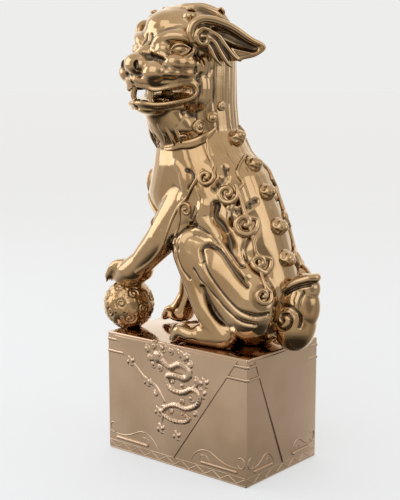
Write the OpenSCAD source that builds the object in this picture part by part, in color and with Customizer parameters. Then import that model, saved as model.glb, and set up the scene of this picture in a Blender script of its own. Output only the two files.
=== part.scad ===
// Seated guardian lion on a rectangular plinth, a slip-cast glazed ceramic ornament.
// Millimetres, +Z up. The origin is at the centre of the plinth's underside.
// The lion's body faces -X, its left side is -Y, and its head is turned towards -Y.

/* [Plinth] */
// Length of the plinth, along the lion's body
plinth_l = 188; // [184:1:196]
// Width of the plinth, across the lion's body
plinth_w = 121; // [118:1:128]
// Height of the plinth
plinth_h = 130; // [110:1:150]
// Wall of the cast plinth
plinth_wall = 8; // [6:0.5:10]
// Diameter of the hole in the deck that lets the fired figure breathe
vent_d = 18; // [12:1:24]
// Height of the sprigged relief on the two long faces
relief_t = 3; // [2:0.5:4]

/* [Figure] */
// Height of the figure above the deck, to the crown of the head
figure_h = 341; // [330:1:350]
// Wall of the cast torso and head
body_wall = 7; // [6:0.5:8]
// Turn of the head towards the lion's left, in degrees
head_turn = 78; // [74:1:82]

/* [Details] */
// Radius of the brocade ball under the left front paw
ball_r = 27.5; // [26:0.5:29]
// Radius of the flat that the ball stands on
ball_foot_r = 12; // [10:0.5:14]
// Height of a stud on the spine
stud_h = 10; // [9:0.5:12]
// Outer radius of the largest curl on the mane
curl_r = 11; // [10:0.5:12]

/* [Hidden] */

// Height that the figure's own numbers below are drawn for
DRAWN_H = 341;
GOLD = "#b08d4f";
DARK_GOLD = "#8d6c38";
SATIN = "#b39c88";
// Facets of a rounded mass and of a small bead
MASS_FN = 24;
BEAD_FN = 14;

// Masses are [x, y, z, rx, ry, rz], from the centre of the deck
NECK_TOP = [-18, -3, 242, 42, 42, 20];
NECK = [-17, 0, 212, 43, 43, 26];
SHOULDER = [-10, 0, 180, 56, 48, 30];
CHEST = [-24, 0, 150, 50, 44, 34];
BACK = [20, 0, 156, 47, 50, 38];
BELLY = [-14, 0, 118, 44, 42, 26];
LOIN = [37, 0, 108, 51, 50, 44];
RUMP = [54, 0, 54, 50, 50, 58];
TORSO_CHAINS = [
    [NECK_TOP, NECK, SHOULDER, CHEST, BELLY, LOIN],
    [SHOULDER, BACK, LOIN, RUMP]
];

// The left front leg reaches out over the ball
LEFT_ARM = [
    [-6, -34, 140, 26, 16, 26],
    [-32, -42, 104, 16, 14, 18],
    [-62, -38, 78, 13, 13, 13],
    [-88, -32, 56, 20, 17, 12]
];
// The right front leg stands on the deck
RIGHT_ARM = [
    [-36, 30, 140, 24, 16, 26],
    [-48, 32, 88, 15, 14, 18],
    [-52, 24, 30, 11, 12, 14],
    [-62, 22, 9, 16, 14, 9]
];
// A hind leg on the left; the right one is its mirror image
THIGH = [
    [4, -42, 98, 19, 14, 20],
    [40, -40, 82, 34, 20, 34],
    [72, -34, 48, 32, 22, 38]
];
SHIN = [
    [4, -46, 92, 14, 12, 16],
    [30, -48, 40, 11, 11, 14],
    [48, -42, 14, 16, 13, 14],
    [8, -45, 10, 15, 13, 10]
];
TAIL = [
    [98, 2, 40, 22, 20, 34],
    [110, 4, 30, 25, 22, 26],
    [118, 6, 56, 16, 15, 16],
    [124, 6, 68, 8, 10, 6]
];

// Masses of the head, from its own centre, facing -X with its left at -Y
HEAD_AT = [-18, -10, 299];
SKULL = [-10, 0, 6, 44, 44, 37];
NAPE = [8, 0, -16, 38, 42, 38];
THROAT = [8, 0, -58, 42, 42, 22];
BROW = [-38, 0, 3, 14, 37, 14];
MUZZLE = [-54, 0, -24, 18, 28, 18];
NOSE = [-69, 0, -20, 11, 19, 12];
CHEEK = [-18, 0, -20, 27, 45, 24];
CHIN = [-48, 0, -62, 18, 20, 10];
JAW = [-10, 0, -60, 28, 37, 13];
// The open mouth: its height, its level at the front and at the corners, its back end
MOUTH_H = 10;
MOUTH_FRONT_Z = -47;
MOUTH_CORNER_Z = -44;
MOUTH_BACK_X = -28;
// A canine tooth's place beside the middle of the mouth, and its radius
CANINE = [-59, 14];
CANINE_R = 4;
// Curls on the temples and between the brows, and down each side of the beard
CROWN_CURLS = [[-24, -30, 27, 6], [8, -22, 36, 7]];
BEARD_CURLS = [[-35, -25, -86, 6], [-21, -36, -80, 8], [-7, -41, -71, 6.5], [4, -42, -60, 5]];

// Studs on the spine: [x, z] of the foot and the lean of the axis from upright, degrees
STUDS = [[31, 207, 46], [52, 181, 52], [69, 155, 60], [84, 122, 72], [93, 91, 78]];
// Curls on the left of the mane: [x, y, z, size, turn of the axis from -Y]
CURLS = [
    [26, -47, 168, 0.9, 12], [50, -42, 154, 0.85, 28], [69, -37, 128, 1, 40],
    [84, -32, 92, 0.85, 46], [99, -27, 62, 0.7, 52]
];
SHOULDER_CURL = [6, -50, 136, 0.8, 0];

// Everything of the figure stands on the deck and grows with its height
module figure() {
    translate([0, 0, plinth_h]) scale(figure_h / DRAWN_H) children();
}

module in_head() {
    figure() translate(HEAD_AT) rotate([0, 0, head_turn]) children();
}

module mirrored(side) {
    if (side > 0) mirror([0, 1, 0]) children();
    else children();
}

// One rounded mass, made thinner all round by cut
module mass(m, cut = 0, fn = MASS_FN) {
    translate([m[0], m[1], m[2]])
        scale([m[3] - cut, m[4] - cut, m[5] - cut]) sphere(1, $fn = fn);
}

// Masses joined one to the next
module limb(masses, cut = 0, fn = MASS_FN) {
    for (i = [0 : len(masses) - 2]) hull() {
        mass(masses[i], cut, fn);
        mass(masses[i + 1], cut, fn);
    }
}

module torso_form(cut = 0) {
    for (chain = TORSO_CHAINS) limb(chain, cut);
}

module head_form(cut = 0) {
    hull() { mass(SKULL, cut); mass(NAPE, cut); }
    hull() { mass(NAPE, cut); mass(THROAT, cut); }
    hull() { mass(SKULL, cut); mass(BROW, cut); }
    hull() { mass(BROW, cut); mass(MUZZLE, cut); mass(CHEEK, cut); }
    hull() { mass(MUZZLE, cut); mass(NOSE, cut); }
    hull() { mass(CHEEK, cut); mass(NAPE, cut); }
    hull() { mass(CHIN, cut); mass(JAW, cut); }
    hull() { mass(JAW, cut); mass(THROAT, cut); mass(NAPE, cut); }
}

// Everything below the deck
module below_deck() {
    translate([-200, -200, -100]) cube([400, 400, 100]);
}

// The outside of the torso, flat where it stands on the deck
module torso_outside() {
    difference() { torso_form(); below_deck(); }
}

module seam_plane_head() {
    translate([-150, -150, 236]) cube([300, 300, 200]);
}

// Vent in the deck under the torso
module vent() {
    translate([45, 0, plinth_h - 2 * plinth_wall]) cylinder(h = 4 * plinth_wall, d = vent_d, $fn = 48);
}

module plinth_shell() {
    color(SATIN) difference() {
        translate([-plinth_l / 2, -plinth_w / 2, 0]) cube([plinth_l, plinth_w, plinth_h]);
        translate([-plinth_l / 2 + plinth_wall, -plinth_w / 2 + plinth_wall, -1])
            cube([plinth_l - 2 * plinth_wall, plinth_w - 2 * plinth_wall, plinth_h - plinth_wall + 1]);
        vent();
    }
}

// A band bent round an arc, in the plane of the relief
module relief_arc(centre, radius, band, from, to) {
    steps = 8;
    inner = [for (i = [0 : steps]) let (a = from + (to - from) * i / steps)
        centre + (radius - band / 2) * [cos(a), sin(a)]];
    outer = [for (i = [steps : -1 : 0]) let (a = from + (to - from) * i / steps)
        centre + (radius + band / 2) * [cos(a), sin(a)]];
    polygon(concat(inner, outer));
}

// The coiled dragon, seen from outside with its head up and to the left
module dragon_outline() {
    lap = 12;
    relief_arc([-14, 104], 15, 10, 60, 270 + lap);
    relief_arc([-14, 74], 15, 10, -90 - lap, 90);
    relief_arc([-14, 48], 11, 8, 90 - lap, 330);
    relief_arc([16, 88], 16, 9, 60, 200 + lap);
    relief_arc([-32, 80], 14, 7, 30, 190);
    translate([-6, 117]) circle(9, $fn = 24);
    translate([28, 100]) circle(7, $fn = 24);
}

module dragon_relief(side) {
    color(SATIN) mirrored(side) translate([0, -plinth_w / 2, 0])
        rotate([90, 0, 0]) linear_extrude(relief_t) dragon_outline();
}

module torso_shell() {
    color(GOLD) difference() {
        figure() difference() {
            torso_form();
            torso_form(body_wall);
            below_deck();
            seam_plane_head();
        }
        vent();
    }
}

// The gap runs from one corner of the lips round the front to the other
module mouth_gap() {
    width = 140;
    hull() {
        translate([-90, -width / 2, MOUTH_FRONT_Z - MOUTH_H / 2]) cube([40, width, MOUTH_H]);
        translate([MOUTH_BACK_X, width / 2, MOUTH_CORNER_Z]) rotate([90, 0, 0])
            cylinder(h = width, d = MOUTH_H, $fn = 24);
    }
}

module head_shell() {
    color(GOLD) difference() {
        in_head() difference() {
            head_form();
            head_form(body_wall);
            mouth_gap();
        }
        figure() translate([-150, -150, 36]) cube([300, 300, 200]);
    }
}

module ear(side) {
    // A pointed leaf, cupped at the front, swept back and outwards
    color(GOLD) in_head() mirrored(side) difference() {
        limb([[-30, -40, 6, 10, 8, 15], [-12, -48, 8, 13, 9, 17], [12, -59, -3, 10, 8, 15],
              [33, -69, -1, 3, 3, 4]], 0, 20);
        limb([[-14, -55, 9, 7, 5, 9], [10, -66, 2, 6, 5, 8], [24, -70, 0, 4, 4, 4]], 0, BEAD_FN);
        head_form();
    }
}

module eye(side) {
    color(DARK_GOLD) in_head() mirrored(side) difference() {
        translate([-44, -30, -1]) scale([7, 9, 6]) sphere(1, $fn = 24);
        head_form();
    }
}

module canine_post(side) {
    reach = MOUTH_H;
    translate([CANINE[0], side * CANINE[1], MOUTH_FRONT_Z - reach])
        cylinder(h = 2 * reach, r = CANINE_R, $fn = 24);
}

// Two canines join the lips on either side of the front of the mouth
module canine_teeth() {
    color(GOLD) in_head() difference() {
        for (side = [-1, 1]) canine_post(side);
        difference() { head_form(); mouth_gap(); }
    }
}

// A rolled curl: a ring round a bead, its axis along Y
module curl(radius) {
    rotate([90, 0, 0]) rotate_extrude($fn = 14)
        translate([radius * 0.64, 0]) circle(radius * 0.36, $fn = 8);
    sphere(radius * 0.42, $fn = 8);
}

// Curls on both sides of the head, each lying against the form beneath it
module head_curls(places) {
    for (place = places) for (side = [-1, 1]) mirrored(side)
        translate([place[0], place[1], place[2]])
            rotate([0, 0, atan2(-place[0], -place[1]) / 2]) curl(place[3]);
}

module crown_curls() {
    color(GOLD) in_head() difference() { head_curls(CROWN_CURLS); head_form(); }
}

module beard_curls() {
    color(GOLD) difference() {
        in_head() difference() { head_curls(BEARD_CURLS); head_form(); }
        figure() torso_form();
    }
}

module collar_ring() {
    translate([-14, -1, 205]) rotate([0, 10, -12]) scale([1.16, 1.1, 1])
        rotate_extrude($fn = 40) translate([40, 0]) circle(4.5, $fn = BEAD_FN);
}

module neck_collar() {
    color(GOLD) figure() difference() { collar_ring(); torso_form(); }
}

module chest_bell() {
    color(DARK_GOLD) figure() difference() {
        union() {
            translate([-68, -12, 158]) scale([7, 10, 15]) sphere(1, $fn = 24);
            hull() {
                translate([-56, -14, 192]) sphere(5, $fn = BEAD_FN);
                translate([-67, -12, 170]) sphere(5, $fn = BEAD_FN);
            }
        }
        torso_form();
    }
}

module ball_outside() {
    rise = sqrt(ball_r * ball_r - ball_foot_r * ball_foot_r);
    translate([-91, -30, rise]) sphere(ball_r, $fn = 48);
}

module brocade_ball() {
    color(DARK_GOLD) figure() difference() { ball_outside(); below_deck(); }
}

module left_front_leg() {
    color(GOLD) figure() difference() {
        limb(LEFT_ARM, 0, 24);
        ball_outside();
        torso_form();
    }
}

module right_front_leg() {
    color(GOLD) figure() difference() {
        limb(RIGHT_ARM, 0, 24);
        below_deck();
        torso_form();
    }
}

module hind_leg(side) {
    color(GOLD) figure() mirrored(side) difference() {
        union() { limb(THIGH, 0, 24); limb(SHIN, 0, 20); }
        below_deck();
        torso_form();
    }
}

module tail_scroll() {
    color(GOLD) figure() difference() {
        limb(TAIL, 0, 24);
        below_deck();
        torso_form();
        limb(THIGH, 0, 24);
        mirrored(1) limb(THIGH, 0, 24);
    }
}

// A bud on the spine: a round foot and a blunt point
module spine_stud(i) {
    color(DARK_GOLD) figure() difference() {
        translate([STUDS[i][0], 0, STUDS[i][1]]) rotate([0, STUDS[i][2], 0])
            translate([0, 0, -6]) cylinder(h = 6 + stud_h, r1 = 11, r2 = 2, $fn = 24);
        torso_form();
    }
}

module body_curl(spot, side) {
    color(GOLD) figure() mirrored(side) difference() {
        translate([spot[0], spot[1], spot[2]]) rotate([0, 0, spot[4]]) curl(curl_r * spot[3]);
        torso_form();
        limb(THIGH, 0, 24);
        limb(LEFT_ARM, 0, 24);
        if (side > 0) mirrored(side) limb(RIGHT_ARM, 0, 24);
    }
}

plinth_shell();
dragon_relief(-1);  // dragon_relief_left
dragon_relief(1);  // dragon_relief_right
torso_shell();
head_shell();
ear(-1);  // left_ear
ear(1);  // right_ear
eye(-1);  // left_eye
eye(1);  // right_eye
canine_teeth();
crown_curls();
beard_curls();
neck_collar();
chest_bell();
left_front_leg();
right_front_leg();
hind_leg(-1);  // left_hind_leg
hind_leg(1);  // right_hind_leg
brocade_ball();
tail_scroll();
for (i = [0 : len(STUDS) - 1])
    spine_stud(i);
body_curl(SHOULDER_CURL, -1);  // left_shoulder_curl
body_curl(SHOULDER_CURL, 1);  // right_shoulder_curl
for (i = [0 : len(CURLS) - 1]) {
    body_curl(CURLS[i], -1);
    body_curl(CURLS[i], 1);
}
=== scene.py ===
"""Seated guardian lion on a plinth, slip-cast ceramic under a gold lustre glaze.

The figure's design sizes are millimetres in the statue's own frame: +Z up, the origin at the centre of
the plinth's underside, the body facing -X and its left side -Y. The head has a frame of its own.
"""
import logging
import math
from dataclasses import dataclass
from enum import Enum
from typing import Iterable, Iterator, Sequence

import bpy
import numpy as np
from mathutils import Euler, Matrix, Vector
from mathutils.bvhtree import BVHTree


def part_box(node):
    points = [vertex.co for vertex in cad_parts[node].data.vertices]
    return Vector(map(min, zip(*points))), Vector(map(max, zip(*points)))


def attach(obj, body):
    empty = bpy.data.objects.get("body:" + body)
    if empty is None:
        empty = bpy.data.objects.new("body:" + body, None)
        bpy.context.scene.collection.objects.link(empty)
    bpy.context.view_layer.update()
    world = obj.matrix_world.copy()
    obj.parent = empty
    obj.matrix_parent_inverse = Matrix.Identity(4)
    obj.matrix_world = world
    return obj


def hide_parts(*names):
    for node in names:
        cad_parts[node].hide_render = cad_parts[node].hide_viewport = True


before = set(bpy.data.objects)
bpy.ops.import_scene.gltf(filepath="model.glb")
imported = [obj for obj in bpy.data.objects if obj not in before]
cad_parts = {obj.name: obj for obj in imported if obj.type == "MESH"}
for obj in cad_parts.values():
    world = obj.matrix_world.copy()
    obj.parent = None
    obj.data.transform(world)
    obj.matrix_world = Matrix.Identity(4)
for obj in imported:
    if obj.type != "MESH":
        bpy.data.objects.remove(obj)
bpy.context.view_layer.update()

MM = 0.001
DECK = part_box("plinth_shell")[1].z / MM
LOG = logging.getLogger("lion")

Point = tuple[float, float, float]
Mass = tuple[float, float, float, float, float, float]
Piece = bpy.types.Object
Tree = bpy.types.NodeTree
Socket = bpy.types.NodeSocket
# A line seen from the side as X and height above the deck, then the half-width and height of its stroke
Form = tuple[Sequence[tuple[float, float]], float, float]

FULL_TURN = 2 * math.pi
# Half the side of a box that reaches past the whole statue
FAR = 300
# Height above the underside at which the head is parted from the body
NECK_CUT = 366


class Side(Enum):
    """The two sides of the lion, with the sign that takes the left side's Y to that side."""

    LEFT = 1
    RIGHT = -1


# ---------------------------------------------------------------- selection and modifiers


def pick_none() -> None:
    """Deselect everything."""
    bpy.ops.object.select_all(action="DESELECT")


def pick(*objects: Piece) -> None:
    """Select only these objects and make the first one active."""
    pick_none()
    for item in objects:
        item.select_set(True)
    bpy.context.view_layer.objects.active = objects[0]


def apply_modifiers(piece: Piece) -> None:
    """Apply every modifier on the piece, in order."""
    pick(piece)
    for name in [modifier.name for modifier in piece.modifiers]:
        bpy.ops.object.modifier_apply(modifier=name)


def settle(piece: Piece, place: Matrix | None = None) -> Piece:
    """Put the piece's place into its mesh, so that its object sits unturned at the origin.

    Args:
        piece: The object to settle.
        place: A further placement to apply on top of its own, or None.

    Returns:
        The same object.
    """
    pick(piece)
    if place is not None:
        piece.matrix_world = place @ piece.matrix_world
    bpy.ops.object.transform_apply(location=True, rotation=True, scale=True)
    return piece


def join(parts: Sequence[Piece], name: str) -> Piece:
    """Join the parts into one named object."""
    pick(*parts)
    if len(parts) > 1:
        bpy.ops.object.join()
    piece = bpy.context.object
    piece.name = name
    piece.data.name = name
    return piece


# ---------------------------------------------------------------- clay


def lump(mass: Mass, place: Matrix | None = None, turn: Point = (0, 0, 0),
         segments: int = 40) -> Piece:
    """Add one rounded lump of clay.

    Args:
        mass: Its centre and its three radii, in millimetres.
        place: The frame that the centre is given in, or None for the statue's own.
        turn: Its turn about its own axes, in degrees.
        segments: Faces round its middle.

    Returns:
        The lump.
    """
    template = bpy.data.meshes.get(f"ball_{segments}")
    if template is None:
        pick_none()
        bpy.ops.mesh.primitive_uv_sphere_add(segments=segments, ring_count=segments // 2, radius=1)
        first = bpy.context.object
        template = first.data.copy()
        template.name = f"ball_{segments}"
        discard(first)
    ball = link("lump", template.copy())
    shape = Matrix.LocRotScale(Vector(mass[:3]) * MM, Euler([math.radians(angle) for angle in turn]),
                               Vector(mass[3:]) * MM)
    ball.data.transform((place or Matrix()) @ shape)
    return ball


def smooth_path(points: Sequence[Point | Vector], steps: int = 6) -> list[Vector]:
    """Run a smooth line through the points (a Catmull-Rom spline).

    Args:
        points: At least two points.
        steps: How many stretches each gap between points is cut into.

    Returns:
        The points of the smooth line, ends included.
    """
    knots = [Vector(point) for point in points]
    if len(knots) == 2:
        return [knots[0].lerp(knots[1], i / steps) for i in range(steps + 1)]
    padded = [2 * knots[0] - knots[1], *knots, 2 * knots[-1] - knots[-2]]
    line = []
    for i in range(1, len(padded) - 2):
        before, start, end, after = padded[i - 1 : i + 3]
        for step in range(steps):
            t = step / steps
            line.append(0.5 * (2 * start + (end - before) * t
                               + (2 * before - 5 * start + 4 * end - after) * t * t
                               + (3 * start - before - 3 * end + after) * t ** 3))
    return [*line, knots[-1]]


def strand(points: Sequence[Point | Vector], radii: Sequence[float], place: Matrix | None = None,
           steps: int = 6) -> Piece:
    """Roll a rope of clay along a smooth line, thinner or thicker as it goes.

    Args:
        points: The points that it passes through, in millimetres.
        radii: Its radii, spread evenly along it.
        place: The frame that the points are given in, or None for the statue's own.
        steps: How finely the line is cut between points.

    Returns:
        The rope, a closed mesh.
    """
    line = smooth_path(points, steps)
    thick = np.interp(np.linspace(0, len(radii) - 1, len(line)), range(len(radii)), radii)
    pick_none()
    bpy.ops.curve.primitive_nurbs_path_add()
    rope = bpy.context.object
    rope.data.splines.clear()
    spline = rope.data.splines.new("POLY")
    spline.points.add(len(line) - 1)
    for knot, spot, radius in zip(spline.points, line, thick):
        knot.co = (*(spot * MM), 1)
        knot.radius = radius
    rope.data.dimensions = "3D"
    rope.data.bevel_depth = MM
    rope.data.bevel_resolution = 3
    rope.data.use_fill_caps = True
    pick(rope)
    bpy.ops.object.convert(target="MESH")
    rope = bpy.context.object
    rope.data.transform(place or Matrix())
    ends = [lump((*line[i], *[thick[i]] * 3), place, segments=12) for i in (0, -1)]
    return join([rope, *ends], "strand")


def fuse(parts: Sequence[Piece], name: str, grain: float, fillet: float = 0,
         smooth: int = 4) -> Piece:
    """Knead parts into one closed skin.

    Args:
        parts: Closed, overlapping meshes.
        name: The new piece's name.
        grain: Size of the new skin's faces, in millimetres.
        fillet: Radius to which the creases between parts are filled, in millimetres.
        smooth: Rounds of smoothing at the end.

    Returns:
        The fused piece.
    """
    piece = join(parts, name)
    if fillet:
        for swell in (fillet, -fillet):
            knead(piece, grain)
            displace = piece.modifiers.new("swell", "DISPLACE")
            displace.strength = swell * MM
            displace.mid_level = 0
    knead(piece, grain)
    soften(piece, smooth)
    return piece


def knead(piece: Piece, grain: float) -> None:
    """Add a voxel remesh of this grain, in millimetres, to the piece."""
    remesh = piece.modifiers.new("knead", "REMESH")
    remesh.mode = "VOXEL"
    remesh.voxel_size = grain * MM


def soften(piece: Piece, rounds: int) -> None:
    """Smooth the piece's skin a little, and apply all that is on it."""
    smooth = piece.modifiers.new("soften", "SMOOTH")
    smooth.factor = 0.5
    smooth.iterations = rounds
    apply_modifiers(piece)


def carve(piece: Piece, cutter: Piece, operation: str = "DIFFERENCE") -> None:
    """Cut the piece with a closed cutter, and keep the cutter.

    Args:
        piece: The piece to cut.
        cutter: The solid that cuts it.
        operation: DIFFERENCE or INTERSECT.
    """
    boolean = piece.modifiers.new("carve", "BOOLEAN")
    boolean.operation = operation
    boolean.solver = "MANIFOLD"
    boolean.object = cutter
    apply_modifiers(piece)


def link(name: str, data: bpy.types.ID) -> Piece:
    """Add an object for this mesh, light or camera to the scene."""
    item = bpy.data.objects.new(name, data)
    bpy.context.scene.collection.objects.link(item)
    return item


def discard(*objects: Piece) -> None:
    """Delete helper objects."""
    for item in objects:
        bpy.data.objects.remove(item, do_unlink=True)


def copy_of(piece: Piece, name: str) -> Piece:
    """Copy the piece with a mesh of its own."""
    twin = piece.copy()
    twin.data = piece.data.copy()
    twin.name = name
    twin.data.name = name
    bpy.context.scene.collection.objects.link(twin)
    return twin


def box_between(low: Point, high: Point) -> Piece:
    """A closed box between two corners, in millimetres."""
    pick_none()
    bpy.ops.mesh.primitive_cube_add(size=1)
    block = bpy.context.object
    block.location = [(a + b) / 2 * MM for a, b in zip(low, high)]
    block.scale = [(b - a) * MM for a, b in zip(low, high)]
    return settle(block)


def trim(piece: Piece, low: Point, high: Point) -> None:
    """Cut away what lies in the box between two corners, in millimetres."""
    block = box_between(low, high)
    carve(piece, block)
    discard(block)


def round_edges(block: Piece, radius: float, segments: int = 4) -> None:
    """Round every edge of a block, to a radius in millimetres."""
    bevel = block.modifiers.new("edges", "BEVEL")
    bevel.width = radius * MM
    bevel.segments = segments
    apply_modifiers(block)


def mirrored(place: Matrix, side: Side) -> Matrix:
    """Take a frame whose Y points to the left to this side."""
    return place @ Matrix.Diagonal((1, side.value, 1, 1))


def read_mesh(mesh: bpy.types.Mesh) -> tuple[np.ndarray, np.ndarray]:
    """Read where a mesh's vertices are, in metres, and their normals."""
    places, normals = np.empty(len(mesh.vertices) * 3), np.empty(len(mesh.vertices) * 3)
    mesh.vertices.foreach_get("co", places)
    mesh.vertex_normals.foreach_get("vector", normals)
    return places.reshape(-1, 3), normals.reshape(-1, 3)


class Skin:
    """The outer surface of a piece, for laying lines on it and working it along them."""

    def __init__(self, piece: Piece) -> None:
        """Take the surface of a settled piece."""
        self.piece = piece
        self.tree = BVHTree.FromObject(piece, bpy.context.evaluated_depsgraph_get())

    def lay(self, points: Sequence[Point | Vector], place: Matrix | None = None, lift: float = 0,
            steps: int = 6) -> list[Vector]:
        """Lay a smooth line on the surface.

        Args:
            points: Points near the surface, in millimetres.
            place: The frame that they are given in, or None for the statue's own.
            lift: How far above the surface the line runs, in millimetres.
            steps: Stretches between two points.

        Returns:
            The line's points in the statue's frame, in millimetres.
        """
        line = []
        for spot in smooth_path(points, steps):
            near, normal, *_ = self.tree.find_nearest((place or Matrix()) @ (spot * MM))
            line.append(near / MM + normal * lift)
        return line

    def beside(self, side: Side, points: Sequence[tuple[float, float]]) -> list[Point]:
        """Find the surface straight in from the side.

        Args:
            side: The side to look from.
            points: For each point its X and its height above the deck, in millimetres.

        Returns:
            The points on the surface, in millimetres.
        """
        found = []
        for x, z in points:
            start = Vector((x, -FAR * side.value, z + DECK)) * MM
            spot, *_ = self.tree.ray_cast(start, Vector((0, side.value, 0)))
            if spot is None:
                # A line just past the outline: the nearest skin at about a half body's width
                spot, *_ = self.tree.find_nearest(Vector((x, -40 * side.value, z + DECK)) * MM)
            found.append(tuple(spot / MM))
        return found

    def strokes(self, side: Side, forms: Iterable[Form]) -> list[tuple[list[Point], float, float]]:
        """Find the strokes that forms seen from the side make on the surface."""
        return [(self.beside(side, points), width, height) for points, width, height in forms]

    def work(self, strokes: Iterable[tuple[Sequence[Point | Vector], float, float]],
             place: Matrix | None = None) -> None:
        """Push grooves into the surface, or raise ridges from it, along lines laid on it.

        Args:
            strokes: For each line its points, its half-width and its height in millimetres; a
                negative height makes a groove.
            place: The frame that the points are given in, or None for the statue's own.
        """
        mesh = self.piece.data
        spots, normals = read_mesh(mesh)
        spots = spots / MM
        push = np.zeros(len(spots))
        for points, width, height in strokes:
            line = np.array(self.lay(points, place))
            away = np.full(len(spots), np.inf)
            near = np.flatnonzero(((spots > line.min(0) - width) & (spots < line.max(0) + width)).all(1))
            for start, end in zip(line[:-1], line[1:]):
                way = end - start
                along = np.clip((spots[near] - start) @ way / max(way @ way, 1e-9), 0, 1)
                gap = np.linalg.norm(spots[near] - start - along[:, None] * way, axis=1)
                away[near] = np.minimum(away[near], gap)
            push += height * np.clip(1 - (away / width) ** 2, 0, 1) ** 2
        spots += normals * push[:, None]
        mesh.vertices.foreach_set("co", (spots * MM).ravel())
        mesh.update()


# ---------------------------------------------------------------- finishes


def linear(hex_colour: str) -> tuple[float, float, float, float]:
    """Turn an sRGB hex colour to linear RGBA."""
    parts = [int(hex_colour[i : i + 2], 16) / 255 for i in (1, 3, 5)]
    return (*(part / 12.92 if part <= 0.04045 else ((part + 0.055) / 1.055) ** 2.4 for part in parts), 1)


def add_node(tree: Tree, kind: str, settings: dict | None = None,
             links: dict | None = None) -> bpy.types.Node:
    """Add a shader node with its settings and links.

    Args:
        tree: The material's node tree.
        kind: The node's type.
        settings: Attribute or input names and their values.
        links: Input names and the output sockets that feed them.

    Returns:
        The new node.
    """
    node = tree.nodes.new(kind)
    for key, value in (settings or {}).items():
        if isinstance(key, int) or key in node.inputs:
            node.inputs[key].default_value = value
        else:
            setattr(node, key, value)
    for key, socket in (links or {}).items():
        tree.links.new(socket, node.inputs[key])
    return node


def ramp(tree: Tree, value: Socket, start: float, end: float, low: float, high: float,
         kind: str = "SMOOTHSTEP") -> Socket:
    """Take a value from low, at start, to high, at end."""
    return add_node(tree, "ShaderNodeMapRange",
                    {"From Min": start, "From Max": end, "To Min": low, "To Max": high,
                     "interpolation_type": kind}, {"Value": value}).outputs["Result"]


def towards(tree: Tree, way: Socket, aim: Point) -> Socket:
    """Say how far a direction points towards another."""
    return add_node(tree, "ShaderNodeVectorMath", {"operation": "DOT_PRODUCT", 1: aim},
                    {0: way}).outputs["Value"]


def combine(tree: Tree, operation: str, first: Socket, second: Socket) -> Socket:
    """Join two values by a sum or a product."""
    return add_node(tree, "ShaderNodeMath", {"operation": operation}, {0: first, 1: second}).outputs[0]


@dataclass(frozen=True)
class LustreGlaze:
    """Metallic lustre fired over a clear glaze: a mirror-like skin whose tint drifts with its thickness, with
    painted shade darkening the hollows of its relief.
    """

    name: str
    thin: str
    thick: str
    roughness: float
    cloud_mm: float
    ripple_mm: float
    ripple_height_mm: float
    coat: float
    # Colour of the painted shade in the hollows of the relief
    painted_shade_colour: str = "#33271a"

    def make(self) -> bpy.types.Material:
        """Build the material."""
        material = bpy.data.materials.new(self.name)
        material.use_nodes = True
        tree = material.node_tree
        tree.nodes.clear()
        spots = add_node(tree, "ShaderNodeTexCoord").outputs["Object"]
        clouds = add_node(tree, "ShaderNodeTexNoise",
                          {"Scale": 1 / (self.cloud_mm * MM), "Detail": 3.0, "Roughness": 0.5},
                          {"Vector": spots})
        tint = add_node(tree, "ShaderNodeValToRGB", links={"Fac": clouds.outputs["Fac"]})
        for element, spot, colour in zip(tint.color_ramp.elements, (0.35, 0.65), (self.thin, self.thick)):
            element.position = spot
            element.color = linear(colour)
        # Painted shade: the deeper a point lies in a hollow of the relief, the more its colour darkens
        # towards the shade colour
        depth = add_node(tree, "ShaderNodeAttribute")
        depth.attribute_name = "hollow"
        painted_shade_mix = ramp(tree, depth.outputs["Fac"], 0.12, 0.6, 0.0, 0.9)
        skin = add_node(tree, "ShaderNodeMix", {"data_type": "RGBA"})
        tree.links.new(painted_shade_mix, skin.inputs["Factor"])
        tree.links.new(tint.outputs["Color"], skin.inputs[6])
        skin.inputs[7].default_value = linear(self.painted_shade_colour)
        gloss = ramp(tree, clouds.outputs["Fac"], 0.3, 0.7, self.roughness * 0.7, self.roughness * 1.3,
                     "LINEAR")
        ripple = add_node(tree, "ShaderNodeTexNoise",
                          {"Scale": 1 / (self.ripple_mm * MM), "Detail": 2.0}, {"Vector": spots})
        bump = add_node(tree, "ShaderNodeBump", {"Distance": self.ripple_height_mm * MM, "Strength": 1.0},
                        {"Height": ripple.outputs["Fac"]})
        shader = add_node(tree, "ShaderNodeBsdfPrincipled",
                          {"Metallic": 1.0, "Coat Weight": self.coat, "Coat Roughness": 0.06},
                          {"Base Color": skin.outputs[2], "Roughness": gloss,
                           "Normal": bump.outputs["Normal"]})
        add_node(tree, "ShaderNodeOutputMaterial", links={"Surface": shader.outputs["BSDF"]})
        return material


# Each glaze darkens its hollows towards a painted shade colour: the satin's is its last value, the others
# keep the default
GOLD_LUSTRE = LustreGlaze("gold_lustre_glaze", "#bda27e", "#a7885f", 0.14, 60, 9, 0.06, 0.8)
SATIN_LUSTRE = LustreGlaze("satin_bronze_lustre", "#c8b19c", "#b8a089", 0.27, 70, 14, 0.08, 0.5, "#5c4a3b")
DECK_LUSTRE = LustreGlaze("polished_bronze_lustre", "#bfa38c", "#b39680", 0.08, 70, 14, 0.05, 0.8)


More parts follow.
